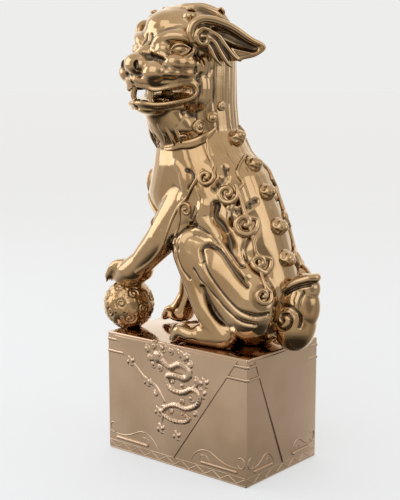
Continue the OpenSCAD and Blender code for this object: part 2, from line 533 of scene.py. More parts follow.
def mark_hollows(piece: Piece, reach: float = 4.8, most_rounds: int = 64) -> None:
    """Store how deep each point lies below the piece's smoothed skin, in millimetres, as its own attribute,
    by which the glaze paints shade into the hollows.

    Args:
        piece: The finished mesh.
        reach: How far along the skin the smoothing reaches, in millimetres.
        most_rounds: How often, at most, the skin is averaged with its neighbours.
    """
    mesh = piece.data
    place, normals = read_mesh(mesh)
    count = len(place)
    ends = np.empty(len(mesh.edges) * 2, dtype=np.int32)
    mesh.edges.foreach_get("vertices", ends)
    first, second = ends[0::2], ends[1::2]
    degree = np.maximum(np.bincount(ends, minlength=count), 1)
    edge = float(np.median(np.linalg.norm(place[first] - place[second], axis=1)))
    rounds = int(min(most_rounds, max(1, (reach * MM / edge) ** 2)))
    smooth = place.copy()
    for _ in range(rounds):
        for axis in range(3):
            line = smooth[:, axis]
            total = (np.bincount(first, weights=line[second], minlength=count)
                     + np.bincount(second, weights=line[first], minlength=count))
            smooth[:, axis] = 0.5 * line + 0.5 * total / degree
    depth = ((smooth - place) * normals).sum(axis=1) / MM
    hollow = mesh.attributes.new("hollow", "FLOAT", "POINT")
    hollow.data.foreach_set("value", depth.astype(np.float32))


def dress(piece: Piece, material: bpy.types.Material, slot: str, *nodes: str,
          angle: float = 180) -> Piece:
    """Glaze a finished piece and tie it to the frame.

    Args:
        piece: The finished mesh, with its place in it.
        material: Its glaze.
        slot: Not used.
        nodes: The CAD nodes that it stands for.
        angle: Edges sharper than this stay crisp, in degrees.

    Returns:
        The same object.
    """
    piece.data.materials.clear()
    piece.data.materials.append(material)
    for polygon in piece.data.polygons:
        polygon.material_index = 0
    pick(piece)
    bpy.ops.object.shade_smooth()
    if angle < 180:
        bpy.ops.object.shade_smooth_by_angle(angle=math.radians(angle))
    # Depth below the smoothed skin, by which the glaze paints shade into the hollows
    mark_hollows(piece)
    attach(piece, "root")
    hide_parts(*nodes)
    LOG.info("%s: %d faces", piece.name, len(piece.data.polygons))
    return piece


def gild(piece: Piece, *nodes: str, angle: float = 180) -> Piece:
    """Dress a piece in the gold lustre, which is made on its first use."""
    gold = bpy.data.materials.get(GOLD_LUSTRE.name) or GOLD_LUSTRE.make()
    return dress(piece, gold, "gold_lustre", *nodes, angle=angle)


# ---------------------------------------------------------------- the head's frame

HEAD_TURN = math.radians(78)
HEAD_CENTRE = Vector((-18, -10, DECK + 299))
# Columns: forwards, to the lion's left, up, from the centre of the head
HEAD = Matrix((
    (-math.cos(HEAD_TURN), math.sin(HEAD_TURN), 0, HEAD_CENTRE.x * MM),
    (-math.sin(HEAD_TURN), -math.cos(HEAD_TURN), 0, HEAD_CENTRE.y * MM),
    (0, 0, 1, HEAD_CENTRE.z * MM),
    (0, 0, 0, 1),
))


# ---------------------------------------------------------------- plinth


@dataclass
class Plinth:
    """The hollow stand that the lion sits on, dressed as a table with a cloth over it."""

    length: float = 188
    depth: float = 121
    wall: float = 8
    edge: float = 1.6
    foot: float = 9.5
    tooth: float = 11
    cloth_lift: float = 1.3

    def build(self) -> None:
        """Model the stand, its cloth drape and its dragons, and dress them."""
        satin = SATIN_LUSTRE.make()
        shell = self.shell()
        relief = self.drape()
        stand = dress(join([shell, *relief], "plinth"), satin, "satin_glaze", "plinth_shell", angle=40)
        self.polish_deck(stand)
        for side in Side:
            name = f"dragon_relief_{side.name.lower()}"
            dragon = fuse(self.dragon(side), name, 0.6, smooth=1)
            dress(dragon, satin, "satin_glaze", name)

    def polish_deck(self, stand: Piece) -> None:
        """Give the faces of the deck their brighter, mirror-like glaze."""
        stand.data.materials.append(DECK_LUSTRE.make())
        for face in stand.data.polygons:
            if face.normal.z > 0.7 and face.center.z > (DECK - 2) * MM:
                face.material_index = 1

    def drape(self) -> list[Piece]:
        """Model the cloth's hanging corner and the borders on all four faces."""
        made = []
        for quarter in range(4):
            half, out = self.length / 2, self.depth / 2
            if quarter % 2:
                half, out = out, half
            face = (Matrix.Rotation(math.radians(90 * quarter), 4, "Z")
                    @ Matrix.Translation((0, -out * MM, 0)))
            made.append(self.corner_of_cloth(half - 11, face))
            made += self.border(half, face)
        return made

    def corner_of_cloth(self, half: float, face: Matrix) -> Piece:
        """Model the triangle of cloth that hangs down one face.

        Args:
            half: Half its width at the deck, in millimetres.
            face: The face's frame: X along it, Y into it, Z up.

        Returns:
            The thin raised triangle.
        """
        pick_none()
        bpy.ops.mesh.primitive_cylinder_add(vertices=3, radius=1, depth=2, end_fill_type="NGON")
        cloth = bpy.context.object
        height = DECK - 3 - self.foot
        # A three-sided cylinder stands 1.5 radii high and 1.732 wide
        cloth.data.transform(Matrix.Translation((0, 0, (self.foot + height * 2 / 3) * MM))
                             @ Matrix.Diagonal((2 * half / 1.732 * MM, self.cloth_lift * MM,
                                                height / 1.5 * MM, 1))
                             @ Matrix.Rotation(math.radians(90), 4, "X")
                             @ Matrix.Rotation(math.radians(180), 4, "Z"))
        round_edges(cloth, 0.6)
        return settle(cloth, face)

    def border(self, half: float, face: Matrix) -> list[Piece]:
        """Model the bars, scrolls and zigzag of one face.

        Args:
            half: Half the face's width, in millimetres.
            face: The face's frame.

        Returns:
            The reliefs.
        """
        made = []
        edge, bar = half - 2, half - 13 - half * 0.45
        for way in (-1, 1):
            for start, end, out, height, radius in (
                    (half - 18, edge, 0.4, 122, 1.9), (half - 24, edge, 0.4, 109, 1.9),
                    (half - 13, bar, 0.2, 14, 1.9), (bar, bar - 1, 0, 14, 2)):
                made.append(strand([(way * start, out, height), (way * end, out, height)],
                                   [radius, radius], face))
            ring = [(way * (half - 7 + 4.5 * math.cos(a)), 0.4, 24 + 5.5 * math.sin(a))
                    for a in np.linspace(-2.6, 2.2, 9)]
            made.append(strand(ring, [0.7, 1.1, 0.9], face, steps=3))
            for line, radii in BORDER_LINES:
                made.append(strand([(way * half * part, 0.4, height) for part, height in line], radii,
                                   face, steps=4))
        teeth = 2 * round(half / self.tooth)
        zigzag = [(-edge + 2 * edge * i / teeth, 0.4, 2.5 if i % 2 else self.foot - 1)
                  for i in range(teeth + 1)]
        rails = [((-edge, 0.3, height), (edge, 0.3, height)) for height in (1.4, self.foot)]
        for start, end in [*zip(zigzag[:-1], zigzag[1:]), *rails]:
            made.append(strand([start, end], [0.7, 0.7], face, steps=1))
        return made

    def dragon(self, side: Side) -> list[Piece]:
        """Model one dragon in relief, coiled down the middle of a long face.

        Args:
            side: The long face that it lies on.

        Returns:
            Its parts.
        """
        face = Matrix.Diagonal((1, side.value, 1, 1)) @ Matrix.Translation((0, -self.depth / 2 * MM, 0))
        made = []
        for line, radii in DRAGON_LIMBS:
            made.append(strand([(x, 0.22 * radii[0] - 0.3, z) for x, z in line], radii, face, steps=5))
        spine = smooth_path([(x, 0, z) for x, z in DRAGON_LIMBS[0][0]], 4)
        for number, (before, after) in enumerate(zip(spine[:-1], spine[1:])):
            way = (after - before).normalized()
            fin = Vector((-way.z, 0, way.x)) * (3.6 if number % 2 else -3.6)
            made.append(strand([before, before + fin + way * 1.2], [2.0, 0.9], face, steps=2))
            made.append(lump((*(before + Vector((0, -3.2, 0))), 1.5, 1.1, 1.5), face, segments=10))
        for number, (x, z, radius) in enumerate(DRAGON_SWIRLS):
            wind = 1 if number % 2 else -1
            swirl = []
            for step in range(11):
                reach, angle = (radius + 1.2) * (1 - step / 11), step * 0.72 + number
                swirl.append((x + wind * reach * math.cos(angle), 0.2 - 0.15 * step,
                              z + reach * math.sin(angle)))
            made.append(strand(swirl, [1.2, 2.0, 2.0], face, steps=2))
        for x, z in DRAGON_CLAWS:
            for spread in range(4):
                angle = math.radians(90 * spread + 20)
                made.append(strand([(x, 0, z), (x + 4 * math.cos(angle), -0.8, z + 4 * math.sin(angle)),
                                    (x + 6.5 * math.cos(angle + 0.5), 0, z + 6.5 * math.sin(angle + 0.5))],
                                   [2.8, 2.3, 0.9], face, steps=3))
        for mass in DRAGON_HEAD:
            made.append(lump(mass, face, segments=16))
        return made

    def shell(self) -> Piece:
        """Model the open-bottomed box."""
        half_x, half_y = self.length / 2, self.depth / 2
        shell = box_between((-half_x, -half_y, 0), (half_x, half_y, DECK))
        round_edges(shell, self.edge, segments=3)
        trim(shell, (-half_x + self.wall, -half_y + self.wall, -5),
             (half_x - self.wall, half_y - self.wall, DECK - self.wall))
        shell.name = "plinth"
        return shell


# The border's wave and petal: how far along half the face, height, and radii
BORDER_LINES = (
    (((0.88, 18), (0.74, 18.5), (0.62, 22), (0.5, 27), (0.38, 26), (0.28, 19), (0.24, 13)),
     [0.7, 1.0, 1.0, 0.7]),
    (((0.5, 17), (0.46, 21), (0.39, 21), (0.36, 17)), [0.6, 0.9, 0.6]))
# The dragon's body and limbs: X and height above the underside, and radii
DRAGON_LIMBS = (
    (((-18, 113), (-4, 106), (10, 111), (22, 106), (18, 98), (2, 98), (-8, 95), (-4, 84), (12, 82), (26, 88),
      (35, 84), (32, 73), (18, 66), (4, 67), (-8, 63), (-14, 55), (-2, 50), (14, 51), (22, 56), (10, 61)),
     [4.6, 4.8, 4.8, 4.6, 4.4, 4.2, 4, 3.6, 3.2, 2.2]),
    (((-58, 103), (-49, 96), (-36, 86), (-25, 83), (-18, 76), (-12, 68)), [1.8, 2.6, 3, 2.8, 3.2, 2.6]),
    (((26, 88), (34, 96), (41, 98)), [3.2, 2.8, 2.2]),
    (((16, 100), (20, 112), (15, 120)), [3, 2.6, 1.8]),
    (((-12, 57), (-16, 47), (-17, 39)), [3.2, 2.6, 2]),
    (((0, 50), (3, 42), (4, 36)), [3, 2.6, 2]),
    (((-8, 63), (-15, 62), (-20, 57)), [2.6, 2.2, 1.6]),
    (((-28, 118), (-34, 124), (-40, 121)), [1.6, 1.4, 0.9]),
    (((-28, 110), (-36, 108), (-40, 112)), [1.6, 1.4, 0.9]),
)
# Curls of its mane and flames along its body: X, height and radius
DRAGON_SWIRLS = (
    (-36, 120, 4), (-26, 125, 4), (-14, 124, 4.5), (-3, 123, 4), (9, 123, 4), (19, 120, 4), (23, 113, 3.6),
    (-31, 113, 3.6), (-27, 105, 4), (-18, 103, 4), (-1, 91, 4.4), (12, 90, 3.8), (31, 98, 3.6), (38, 90, 4),
    (24, 78, 4.4), (12, 73, 3.6), (-2, 59, 3.6), (29, 63, 3.4), (-24, 74, 3))
DRAGON_CLAWS = ((-59, 103), (-35, 85), (42, 98), (39, 86), (-20, 56), (-17, 38), (5, 35), (14, 121))
DRAGON_HEAD = ((-20, 0, 114, 9, 4.6, 7.5), (-30, 0.2, 111, 6.5, 3.8, 4.4), (-17, -3, 117, 2.2, 1.8, 2.2),
               (-24, -2.4, 116, 2.2, 1.8, 2.2))


# ---------------------------------------------------------------- body


@dataclass
class Body:
    """The seated body with its four legs, modelled as one clay and cut apart at the joins."""

    grain: float = 1.2
    chest_line: tuple[Mass, ...] = (
        (-18, -3, 242, 42, 42, 20), (-17, 0, 212, 43, 43, 26), (-10, 0, 180, 56, 48, 30),
        (-24, 0, 150, 50, 44, 34), (-14, 0, 118, 44, 42, 26), (37, 0, 108, 51, 50, 44))
    back_line: tuple[Mass, ...] = (
        (-10, 0, 180, 56, 48, 30), (20, 0, 156, 47, 50, 38), (37, 0, 108, 51, 50, 44),
        (54, 0, 54, 50, 50, 58))
    left_arm: tuple[Mass, ...] = (
        (-6, -34, 140, 26, 16, 26), (-32, -42, 104, 17, 14.5, 19), (-60, -40, 77, 14, 14, 14),
        (-76, -36, 64, 22, 18, 13), (-88, -32, 56, 20, 17, 12))
    right_arm: tuple[Mass, ...] = (
        (-36, 30, 140, 24, 16, 26), (-48, 32, 88, 15, 14, 18), (-52, 24, 30, 11, 12, 14),
        (-62, 22, 9, 16, 14, 9))
    thigh: tuple[Mass, ...] = ((4, -42, 98, 19, 14, 20), (40, -40, 82, 34, 20, 34), (72, -34, 48, 32, 22, 38))
    shin: tuple[Mass, ...] = (
        (4, -46, 92, 14, 12, 16), (30, -48, 40, 11, 11, 14), (48, -42, 14, 16, 13, 14),
        (8, -45, 10, 15, 13, 10))

    def clay(self) -> list[Piece]:
        """Pile up the clay of the trunk, the haunches and the legs."""
        clay = [*chain(self.chest_line), *chain(self.back_line), *chain(self.left_arm),
                *chain(self.right_arm)]
        for line in THROAT_CHAINS:
            clay += chain(line, HEAD)
        for side in Side:
            for line in (self.thigh, self.shin):
                clay += chain([across(mass, side) for mass in line])
        return clay

    def build(self) -> Piece:
        """Model the body and legs, dress them, and return the plain body for what lies on it."""
        body = fuse(self.clay() + self.feet(), "torso", self.grain, fillet=2.5)
        plain = copy_of(body, "plain_body")
        for side in Side:
            for forms in (FLANK_FORMS, FLANK_LINES):
                skin = Skin(body)
                skin.work(skin.strokes(side, forms))
        Skin(body).work(nape_locks())
        soften(body, 2)
        whole = copy_of(body, "whole_body")
        under = box_between((-FAR, -FAR, 0), (FAR, FAR, DECK))
        for name, sleeve in self.sleeves():
            leg = copy_of(whole, name)
            carve(leg, sleeve, "INTERSECT")
            carve(leg, under)
            carve(body, sleeve)
            discard(sleeve)
            gild(leg, name, angle=60)
        trim(body, (-FAR, -FAR, NECK_CUT), (FAR, FAR, 2 * FAR))
        carve(body, under)
        gild(body, "torso_shell", angle=60)
        discard(whole, under)
        return plain

    def sleeves(self) -> Iterator[tuple[str, Piece]]:
        """Make, for each leg, the solid that parts it from the body."""
        limbs = {"left_front_leg": (self.left_arm[1:],), "right_front_leg": (self.right_arm[1:],)}
        for side in Side:
            limbs[f"{side.name.lower()}_hind_leg"] = (
                tuple(across(mass, side) for mass in self.thigh[:2] + ((70, -44, 48, 30, 14, 36),)),
                tuple(across(mass, side) for mass in self.shin))
        for name, lines in limbs.items():
            loose = []
            for line in lines:
                loose += chain([(*mass[:3], *(size + 3.5 for size in mass[3:])) for mass in line])
            yield name, fuse(loose, "sleeve", 2, smooth=4)

    def feet(self) -> list[Piece]:
        """Model the knuckles and claws of the four paws."""
        toes = []

        def toe(line: Sequence[Point], radii: Sequence[float]) -> None:
            toes.append(strand([(x, y, z + DECK) for x, y, z in line], radii))

        for side in Side:
            for out, ahead in ((-57, 0), (-49, -7), (-41, -7), (-33, 0)):
                y = out * side.value
                toe([(18, y * 0.96, 12), (5 + ahead, y, 14.5), (-2 + ahead, y, 6)], [7, 7, 5])
                toe([(-4 + ahead, y, 7), (-9 + ahead, y, 2.5)], [2.6, 1.4])
        for y in (13, 19.5, 26, 32):
            toe([(-60, y, 13), (-71, y, 14), (-78, y, 5)], [6, 5.4, 4.4])
        for y in (-44, -36, -28, -20):
            toe([(-80, y * 0.95, 72), (-97, y, 68), (-107, y * 1.02, 56)], [6.2, 6.4, 4.6])
            toe([(-108, y * 1.02, 55), (-111, y * 1.02, 48)], [2.4, 1.2])
        return toes


def nape_locks() -> list[tuple[Sequence[Point], float, float]]:
    """Grooves that part the hair, down the nape and out over the shoulders and the back."""
    locks = []
    for number in range(-6, 7):
        angle = math.radians(13 * number)
        out = math.sin(angle)
        locks.append(([
            (-18 + 44 * math.cos(angle), -3 + 42 * out, DECK + 300),
            (-18 + 44 * math.cos(angle), -3 + 42 * out, DECK + 240),
            (-12 + 48 * math.cos(angle), 44 * out, DECK + 205),
            (4 + 52 * math.cos(angle), 48 * out, DECK + 172),
            (20 + 52 * math.cos(angle), 50 * out, DECK + 140)], 2.4, -0.4 if number % 2 else -0.7))
    return locks


# Broad forms of the flank, seen from the side: X and height above the deck, half-width, height
FLANK_FORMS = (
    (((29, 171), (29.5, 170)), 14, -2.2),
    (((51, 156), (51.5, 155)), 18, -2.8),
    (((69, 127), (69.5, 126)), 20, -3.0),
    (((85, 89), (85.5, 88)), 19, -2.8),
    (((99, 61), (99.5, 60)), 15, -2.2),
    (((42, 180), (46, 170), (40, 160)), 6, -3.0),
    (((60, 148), (58, 138), (60, 126)), 6, -3.0),
    (((76, 112), (74, 104), (76, 94)), 6, -2.4),
    (((3, 104), (8, 113), (20, 118), (36, 115), (54, 105), (70, 90), (81, 79)), 7, 2.4),
    (((50, 80), (64, 72), (84, 56)), 22, 3.0),
    (((43, 144), (42, 133), (50, 125), (58, 113), (65, 102), (75, 90)), 6.5, -5.5),
    (((29, 143), (24, 130), (36, 124), (48, 114)), 8, 2.2),
    (((-9, 182), (0, 174), (3, 158), (1, 147)), 6, 1.6),
    (((70, 148), (66, 141), (62, 139)), 5, -3),
)
# Lines of the flank in the same way
FLANK_LINES = (
    (((-6, 104), (1, 116), (15, 122), (33, 119), (54, 107), (72, 88), (82, 76)), 2.4, -2.2),
    (((36, 90), (33, 101), (41, 105.5), (55, 101), (68, 88), (78, 77), (86, 70)), 3.4, -3.6),
    (((34, 99), (45, 81), (60, 62), (76, 48), (92, 41), (104, 42)), 3.0, -3.0),
    (((3, 108), (2, 93), (8, 80), (19, 70)), 2.6, -2.0),
    (((25, 80), (34, 70), (47, 59), (62, 46), (79, 35), (93, 32)), 2.6, -2.2),
    (((35, 62), (46, 39), (60, 27), (68, 25)), 4.5, -5),
    (((-20, 101), (-28, 90), (-42, 78), (-60, 66)), 2.2, 1.6),
    (((10, 123), (2, 115), (-11, 107), (-21, 91)), 2.4, -2.2),
    (((6, 177), (12, 175), (15, 168), (10, 158)), 2.6, -2.8),
    (((22, 136), (14, 127), (8, 122)), 2.0, -1.8),
    (((18, 141), (10, 128)), 1.6, -1.4),
)


@dataclass
class Mane:
    """The curls that lie on the shoulders and flanks, and the studs down the spine."""

    body: Piece

    def build(self) -> None:
        """Model every curl and stud and dress it."""
        skin = Skin(self.body)
        for side in Side:
            name = side.name.lower()
            for number, form in enumerate(MANE_CURLS, 1):
                gild(self.curl(skin, side, *form), f"{name}_mane_curl_{number}")
            curl = self.curl(skin, side, *SHOULDER_CURL)
            border = skin.lay(skin.beside(side, ARM_BORDER), lift=0.3)
            rope = strand(border, [2.2, 1.8, 1.8, 1.6, 1.0], steps=1)
            gild(join([curl, rope], "shoulder_curl"), f"{name}_shoulder_curl")
        for number, stud in enumerate(SPINE_STUDS, 1):
            gild(self.stud(*stud), f"spine_stud_{number}")

    def curl(self, skin: Skin, side: Side, lead: Sequence[tuple[float, float]],
             centre: tuple[float, float], radius: float, start: float, thick: float) -> Piece:
        """Model one lock that runs down and winds up in a spiral.

        Args:
            skin: The body's surface.
            side: The side of the body.
            lead: Where the lock runs before the spiral, seen from the side.
            centre: The spiral's centre, seen from the side.
            radius: The spiral's outer radius, in millimetres.
            start: Where on the circle the lock joins the spiral, in degrees from the rear.
            thick: The lock's thickest radius, in millimetres.

        Returns:
            The curl.
        """
        middle = Vector(skin.beside(side, [centre])[0])
        _, normal, *_ = skin.tree.find_nearest(middle * MM)
        rear = Vector((0, 0, 1)).cross(normal).normalized() * side.value
        up = normal.cross(rear).normalized() * side.value
        spiral = []
        turns, steps = 1.3, 18
        for step in range(steps + 1):
            part = step / steps
            angle = math.radians(start) - part * turns * FULL_TURN
            reach = radius * (1 - 0.92 * part) ** 0.85
            spiral.append(middle + rear * reach * math.cos(angle) + up * reach * math.sin(angle))
        run = [Vector(spot) for spot in skin.beside(side, lead)]
        line = skin.lay(run + spiral, lift=0.3 * thick, steps=3)
        count = len(line)
        radii = [thick * min(1, 0.6 + 1.6 * i / count) * (1 - 0.15 * i / count) for i in range(count)]
        return fuse([strand(line, radii, steps=1)], "curl", 0.6, smooth=1)

    def stud(self, x: float, z: float, lean: float) -> Piece:
        """Model one hooded bud on the spine.

        Args:
            x: Its X, in millimetres.
            z: Its height above the deck.
            lean: How far it leans back from upright, in degrees.

        Returns:
            The stud.
        """
        place = (Matrix.Translation(Vector((x, 0, z + DECK)) * MM)
                 @ Matrix.Rotation(math.radians(lean), 4, "Y"))
        parts = [lump((0, 0, 1, 9.5, 9.5, 5), place), lump((1.5, 0, 6, 7, 7.5, 5), place),
                 lump((3, 0, 9.5, 4, 4.5, 3), place)]
        for turn in range(5):
            angle = math.radians(-100 + turn * 50)
            parts.append(strand([(8.4 * math.cos(angle), 8.4 * math.sin(angle), 1),
                                 (7.4 * math.cos(angle + 0.4), 7.4 * math.sin(angle + 0.4), 5),
                                 (3 * math.cos(angle + 1.1), 3 * math.sin(angle + 1.1), 9.5)],
                                [1.4, 1.5, 0.9], place))
        return fuse(parts, "stud", 0.8, smooth=1)


# Each curl: its lead seen from the side, its centre, radius, joining angle, thickness
MANE_CURLS = (
    (((18, 208), (24, 192), (33, 182)), (29, 171), 9, 35, 2.7),
    (((44, 190), (52, 176), (59, 166)), (51, 156), 11, 20, 3.0),
    (((66, 168), (74, 152), (80, 139)), (69, 127), 13, 20, 3.3),
    (((82, 132), (89, 115), (94, 101)), (85, 89), 12, 20, 3.2),
    (((97, 96), (104, 83), (108, 72)), (99, 61), 9.5, 20, 2.7),
)
SHOULDER_CURL = (((-6, 110), (-3, 120), (-1, 129)), (6, 137), 8, 200, 2.1)
# The rope that edges the arm, seen from the side, from the first curl down
ARM_BORDER = ((24, 177), (20, 168), (12, 155), (5, 147), (-1, 141), (-8, 129), (-14, 115), (-20, 101))
SPINE_STUDS = ((31, 207, 46), (52, 181, 52), (69, 155, 60), (84, 122, 72), (93, 91, 78))


def across(mass: Mass, side: Side) -> Mass:
    """Take a mass of the left side to this side."""
    return (mass[0], mass[1] * side.value, *mass[2:])


def chain(masses: Sequence[Mass], place: Matrix | None = None) -> list[Piece]:
    """Lumps of clay along a line of masses, close enough together to read as one limb.

    Args:
        masses: Two or more masses, with heights above the deck where no place is given.
        place: The frame that the masses are given in, or None for the statue's own.

    Returns:
        The lumps.
    """
    lumps = []
    for first, last in zip(masses[:-1], masses[1:]):
        reach = math.dist(first[:3], last[:3])
        steps = max(3, math.ceil(reach / (0.11 * min(*first[3:], *last[3:]))))
        for step in range(steps + 1):
            mix = [a + (b - a) * step / steps for a, b in zip(first, last)]
            if place is None:
                mix[2] += DECK
            lumps.append(lump(tuple(mix), place, segments=28))
    return lumps


# ---------------------------------------------------------------- head


@dataclass
class Head:
    """The head with its see-through mouth, its eyes, teeth, ears and curls.

    Its sizes are in the head's own frame: forwards, to the lion's left, up.
    """

    grain: float = 0.85
    chains: tuple[tuple[Mass, ...], ...] = (
        ((10, 0, 5, 44, 43, 36.5), (-8, 0, -16, 38, 42, 38), (-8, 0, -58, 41, 41, 24)),
        ((18, 0, -20, 27, 43, 24), (54, 0, -24, 18, 26, 16)),
        ((8, 0, -30, 26, 40, 26), (10, 0, -58, 28, 38, 15)),
        ((46, 0, -2, 10, 10, 10), (66, 0, -15, 9, 9, 7)),
        ((14, 30, -42, 18, 12, 22), (36, 22, -46, 16, 14, 16)),
        ((14, -30, -42, 18, 12, 22), (36, -22, -46, 16, 14, 16)))
    neck: tuple[Mass, ...] = ((-18, -3, 240, 42, 42, 20), (-17, 0, 212, 43, 43, 26))
    masses: tuple[Mass, ...] = (
        (25, 0, 17, 27, 28, 20), (38, 0, 3, 13, 36, 13), (69, 0, -18, 11, 15, 11))
    paired: tuple[Mass, ...] = (
        (61, 20, -26, 12.5, 13.5, 11.5), (71, 11, -19, 7, 8, 7.5), (43, 33, -17, 14, 10, 10),
        (33, 36, -18, 14, 9, 8), (46, 31, -27, 15, 9, 7), (34, 36, -27, 13, 7.5, 7),
        (50, 20, -4, 8, 9, 7), (36, 28, 8, 13, 12, 9), (26, 30, 28, 6, 6, 5))

    def build(self) -> None:
        """Model the head piece by piece and dress it."""
        head = self.skull()
        gild(head, "head_shell", angle=70)
        skin = Skin(head)
        for side in Side:
            name = side.name.lower()
            place = mirrored(HEAD, side)
            gild(self.eye(place), f"{name}_eye")
            gild(self.ear(place), f"{name}_ear")
        gild(self.canines(), "canine_teeth")
        curls = [boss for side in Side for boss in bosses(skin, CROWN_CURLS, side)]
        gild(fuse(curls, "curls", 0.7, smooth=1), "crown_curls")

    def skull(self) -> Piece:
        """Model the skull and jaw from clay, work the face and open the mouth."""
        clay = [lump(mass, HEAD) for mass in self.masses]
        for line in (*self.chains, *THROAT_CHAINS):
            clay += chain(line, HEAD)
        clay += chain(self.neck)
        for side in Side:
            place = mirrored(HEAD, side)
            clay += [lump(mass, place) for mass in self.paired]
            clay += [strand(points, radii, place) for points, radii in FACE_ROPES]
        head = fuse(clay, "head", self.grain, fillet=1.6, smooth=4)
        skin = Skin(head)
        for side in Side:
            skin.work(FACE_FORMS, mirrored(HEAD, side))
        Skin(head).work(nape_locks())
        for cutter in (*self.mouth(), *self.nostrils()):
            carve(head, cutter)
            discard(cutter)
        trim(head, (-FAR, -FAR, 250), (FAR, FAR, NECK_CUT))
        return head

    def mouth(self) -> list[Piece]:
        """Cutters for the slot through both sides and for the gap between the teeth."""
        slot = box_between((-15, -70, -4.4), (15.5, 70, 4.4))
        round_edges(slot, 3.6)
        slope = Matrix.Translation(Vector((46.5, 0, -47.2)) * MM) @ Matrix.Rotation(math.radians(12), 4, "Y")
        settle(slot, HEAD @ slope)
        gap = box_between((20, -9.5, -52.5), (95, 9.5, -41.5))
        round_edges(gap, 2.5)
        settle(gap, HEAD)
        return [slot, gap]

    def nostrils(self) -> list[Piece]:
        """Cutters for the two nostrils."""
        return [lump((77, 11.5 * side.value, -19.5, 4.5, 3.8, 5.5), HEAD, turn=(0, -20, 30 * side.value))
                for side in Side]

    def eye(self, place: Matrix) -> Piece:
        """Model one almond eye between its lids."""
        turn = place @ Matrix.Translation(Vector((40, 33, -4.5)) * MM) @ Matrix.Rotation(
            math.radians(47), 4, "Z")
        lids = [strand([(3, -10.5, -3.4), *lid, (2.5, 10.5, 1)], [0.9, thick, thick, 0.9], turn)
                for lid, thick in ((((6.5, -4, 3.6), (6.6, 3, 4.4)), 1.7),
                                   (((6.4, -3, -5.4), (5.6, 5, -4.4)), 1.5))]
        return fuse([lump((0, 0, 0, 7.5, 9.5, 5.6), turn), *lids], "eye", 0.6, smooth=1)

    def canines(self) -> Piece:
        """Model the four canines, which stand lip to lip as two posts."""
        posts = [strand([(61.5, 14, -38), (62.5, 14.5, -47), (62, 14.5, -52), (61, 14, -58)],
                        [4.2, 3.3, 2.8, 4], mirrored(HEAD, side)) for side in Side]
        return fuse(posts, "canines", 0.7, smooth=1)

    def ear(self, place: Matrix) -> Piece:
        """Model one ear: a rolled rim round a deep hollow, with strands that run from a spiral.

        Args:
            place: The head's frame for the ear's side.

        Returns:
            The ear.
        """
        sweep = Matrix(((-0.917, 0, 0.397, 24 * MM), (0.397, 0, 0.917, 44 * MM), (0, 1, 0, 6 * MM),
                        (0, 0, 0, 1)))
        ear_frame = place @ sweep
        ear = fuse(chain(EAR_DISH, ear_frame), "ear", 0.8, fillet=2, smooth=4)
        hollow = fuse(chain(EAR_HOLLOW, ear_frame), "hollow", 0.8, smooth=4)
        carve(ear, hollow)
        discard(hollow)
        ropes = [strand(points, radii, ear_frame) for points, radii in EAR_ROPES]
        return fuse([ear, *ropes], "ear", 0.7, fillet=0.5, smooth=2)


def bosses(skin: Skin, forms: Sequence[tuple[Point, float]], side: Side) -> list[Piece]:
    """Model small spiral bosses on one side of the head or throat.

    Args:
        skin: The skin that they lie on.
        forms: Each boss's centre in the head's frame and its radius, in millimetres.
        side: The side that they lie on.

    Returns:
        The bosses.
    """
    place = mirrored(HEAD, side)
    return [boss(skin, place @ (Vector(centre) * MM), radius, side.value) for centre, radius in forms]


def boss(skin: Skin, spot: Vector, radius: float, way: int) -> Piece:
    """Model one rope that winds up on the skin into a small spiral.

    Args:
        skin: The skin that it lies on.
        spot: A place near the skin, in metres.
        radius: Its outer radius, in millimetres.
        way: 1 or -1, the way that it winds.

    Returns:
        The rope.
    """
    middle, normal, *_ = skin.tree.find_nearest(spot)
    across_way = normal.orthogonal().normalized()
    up = normal.cross(across_way)
    spiral = []
    turns, steps = 1.6, 16
    for step in range(steps + 1):
        part = step / steps
        angle = way * part * turns * FULL_TURN
        reach = (radius - 1.2) * (1 - part) ** 0.9
        spiral.append(middle / MM + across_way * reach * math.cos(angle)
                      + up * reach * math.sin(angle) + normal * (0.9 + 2.2 * part))
    thick = radius * 0.27
    return strand(spiral, [thick * 0.8, thick, thick, thick * 1.1], steps=2)


# The jaw and the throat below it, which the head and the body share
THROAT_CHAINS = (
    ((10, 0, -58, 28, 38, 15), (50, 0, -60, 17, 21, 9)),
    ((43, 0, -66, 13, 17, 8), (17, 0, -94, 20, 27, 16)),
    ((38, 0, -63, 17, 24, 7), (20, 0, -80, 27, 34, 16)),
    ((-8, 0, -58, 41, 41, 24), (-10, -1, -87, 43, 43, 26)))
